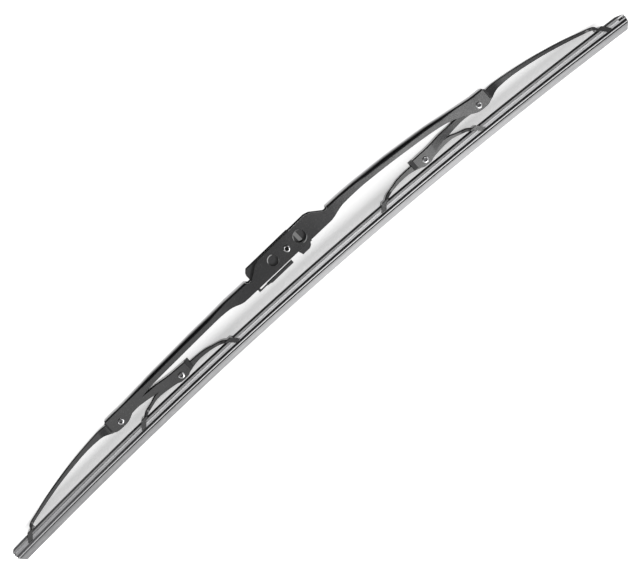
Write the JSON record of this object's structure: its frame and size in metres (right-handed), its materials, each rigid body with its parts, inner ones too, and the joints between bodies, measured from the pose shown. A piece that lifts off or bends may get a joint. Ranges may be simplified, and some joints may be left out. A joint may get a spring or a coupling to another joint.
{
  "type": "wiper blade",
  "caption": "Framed windscreen wiper blade: a pressed steel bridge with pivoting levers and yokes, a hook clip, and a bowed rubber strip on steel flexors.",
  "frame": {"origin": "middle of the centre pin, on which the arm's hook clip turns", "axes": "+X along the blade, towards the nose side of the hook clip; +Y across it; +Z away from the glass"},
  "size_m": [0.508, 0.0152, 0.0474],
  "materials": {
    "frame_paint": "satin black paint",
    "rivet_zinc": "zinc plated",
    "black_plastic": "moulded, satin",
    "strip_rubber": "extruded, graphite coated",
    "flexor_steel": "rolled strip"
  },
  "bodies": {
    "root": {"bridge": "frame_paint", "left_main_rivet": "rivet_zinc", "right_main_rivet": "rivet_zinc", "left_main_liner": "black_plastic", "right_main_liner": "black_plastic", "centre_pin": "rivet_zinc", "rubber_strip": "strip_rubber", "front_flexor": "flexor_steel", "rear_flexor": "flexor_steel"},
    "left_lever": {"left_lever": "frame_paint", "left_yoke_rivet": "rivet_zinc", "left_yoke_liner": "black_plastic"},
    "right_lever": {"right_lever": "frame_paint", "right_yoke_rivet": "rivet_zinc", "right_yoke_liner": "black_plastic"},
    "left_yoke": {"left_yoke": "frame_paint"},
    "right_yoke": {"right_yoke": "frame_paint"},
    "clip": {"hook_clip": "black_plastic"}
  },
  "joints": [
    {"name": "left_lever_hinge", "type": "hinge", "parent": "root", "child": "left_lever", "pos_m": [-0.148, 0, -0.0123], "axis": [0, 1, 0], "range_deg": [-2, 3], "stiffness_Nm_per_rad": 2, "deforming": ["rubber_strip", "front_flexor", "rear_flexor"]},
    {"name": "right_lever_hinge", "type": "hinge", "parent": "root", "child": "right_lever", "pos_m": [0.148, 0, -0.0123], "axis": [0, -1, 0], "range_deg": [-2, 3], "stiffness_Nm_per_rad": 2},
    {"name": "left_yoke_hinge", "type": "hinge", "parent": "left_lever", "child": "left_yoke", "pos_m": [-0.101, 0, -0.01585], "axis": [0, 1, 0], "range_deg": [-2.5, 2.5], "stiffness_Nm_per_rad": 1},
    {"name": "right_yoke_hinge", "type": "hinge", "parent": "right_lever", "child": "right_yoke", "pos_m": [0.101, 0, -0.01585], "axis": [0, -1, 0], "range_deg": [-2.5, 2.5], "stiffness_Nm_per_rad": 1},
    {"name": "clip_hinge", "type": "hinge", "parent": "root", "child": "clip", "pos_m": [0, 0, 0], "axis": [0, 1, 0], "range_deg": [-15, 45]}
  ]
}
